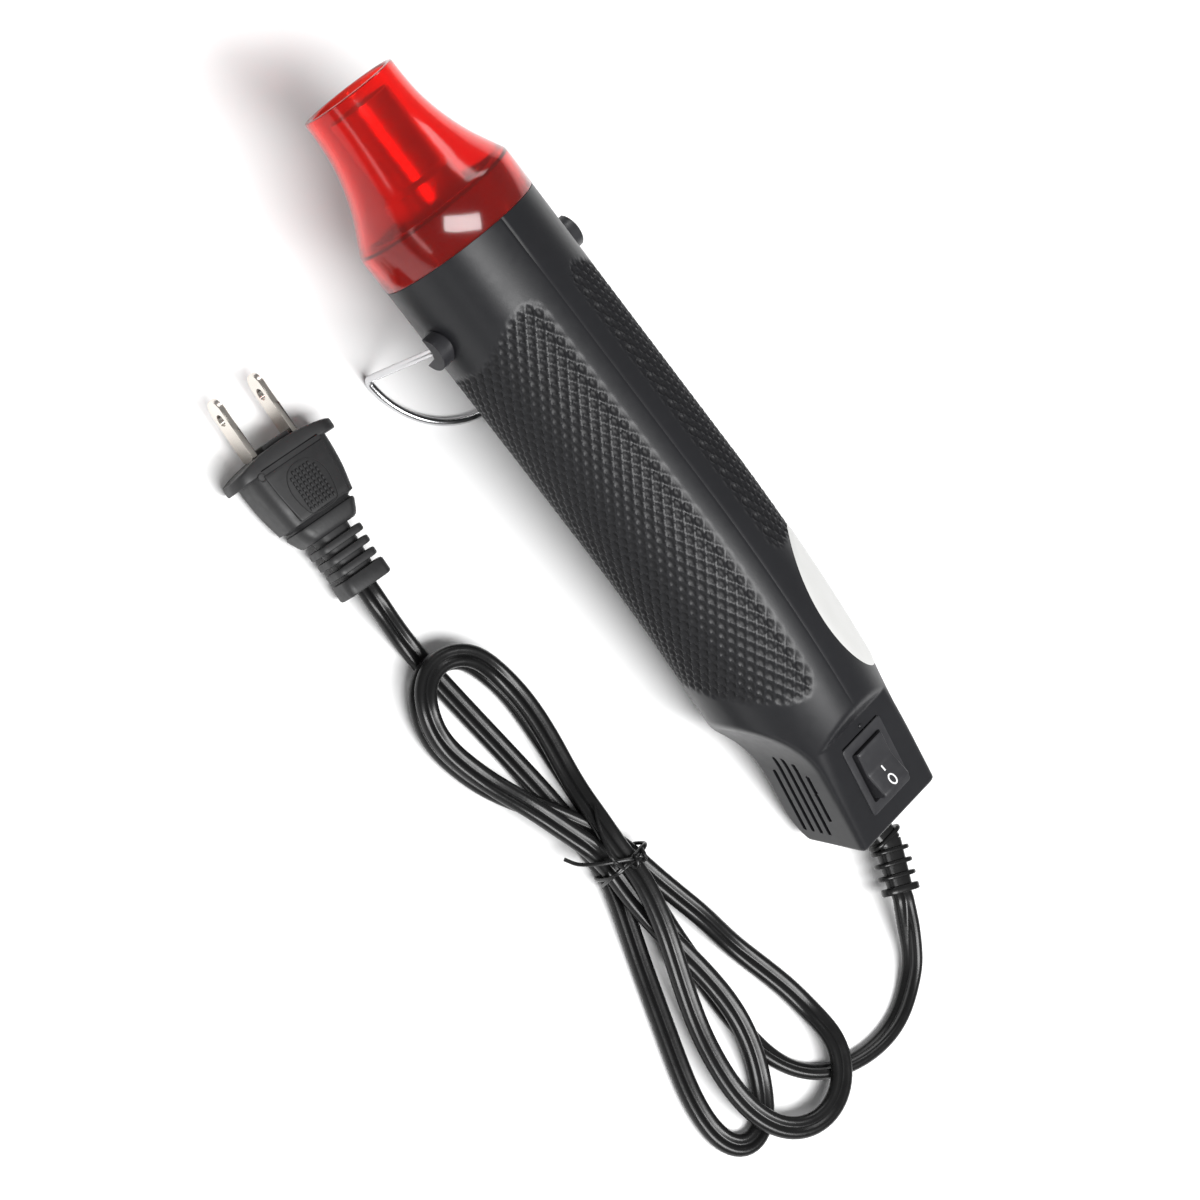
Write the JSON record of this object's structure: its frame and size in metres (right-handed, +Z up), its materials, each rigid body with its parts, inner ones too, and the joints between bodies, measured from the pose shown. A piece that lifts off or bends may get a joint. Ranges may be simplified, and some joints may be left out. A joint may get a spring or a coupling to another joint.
{
  "type": "embossing heat tool",
  "caption": "Slim hand-held hot air tool with a red nozzle guard, a wire stand that folds under the nozzle, a rocker switch at the tail and a tied mains cord with a two-blade plug.",
  "frame": {"origin": "middle of the underside of the tool without its cord, on the table it stands on", "axes": "+X to the nozzle, +Y to the tool's left, +Z up"},
  "size_m": [0.2722, 0.1187, 0.0632],
  "materials": {
    "housing": "satin",
    "guard": "gloss",
    "black_plastic": "gloss",
    "wire_steel": "bright",
    "tube_steel": "brushed",
    "steel": "plain",
    "mica": "matt",
    "coil_wire": "matt",
    "white_plastic": "satin",
    "board": "matt",
    "lead_cover": "satin",
    "label": "matt",
    "cord_cover": "gloss",
    "plug_plastic": "satin",
    "blade_nickel": "bright"
  },
  "bodies": {
    "tool": {"left_housing": "housing", "right_housing": "housing", "housing_screws": "steel", "nozzle_guard": "guard", "heater_holder": "mica", "heater_tube": "tube_steel", "mica_sleeve": "mica", "mica_former": "mica", "heating_coil": "coil_wire", "thermal_cutoff": "steel", "motor": "tube_steel", "motor_mount": "black_plastic", "rectifier_board": "board", "lead_wires": "lead_cover", "switch_body": "black_plastic", "stand_bushes": "black_plastic", "rating_label": "label", "strain_relief": "cord_cover", "cord_clamp": "black_plastic", "clamp_screws": "steel", "cord_to_tool": "cord_cover", "cord_hank": "cord_cover", "cord_to_plug": "cord_cover", "cord_tie": "cord_cover", "plug_body": "plug_plastic", "plug_blades": "blade_nickel"},
    "stand": {"stand_bail": "wire_steel"},
    "rocker": {"switch_rocker": "black_plastic"},
    "rotor": {"fan_rotor": "white_plastic", "motor_shaft": "steel"}
  },
  "joints": [
    {"name": "stand_swing", "type": "hinge", "parent": "tool", "child": "stand", "pos_m": [0.05188, 0, 0.0389], "axis": [0, -1, 0], "range_deg": [-12, 90]},
    {"name": "rocker_tilt", "type": "hinge", "parent": "tool", "child": "rocker", "pos_m": [-0.0976, 0, 0.02871], "axis": [0, 1, 0], "range_deg": [-24, 0]},
    {"name": "fan_spin", "type": "hinge", "parent": "tool", "child": "rotor", "pos_m": [0.03645, 0, 0.03744], "axis": [0.9956, 0, 0.094], "continuous": true}
  ]
}
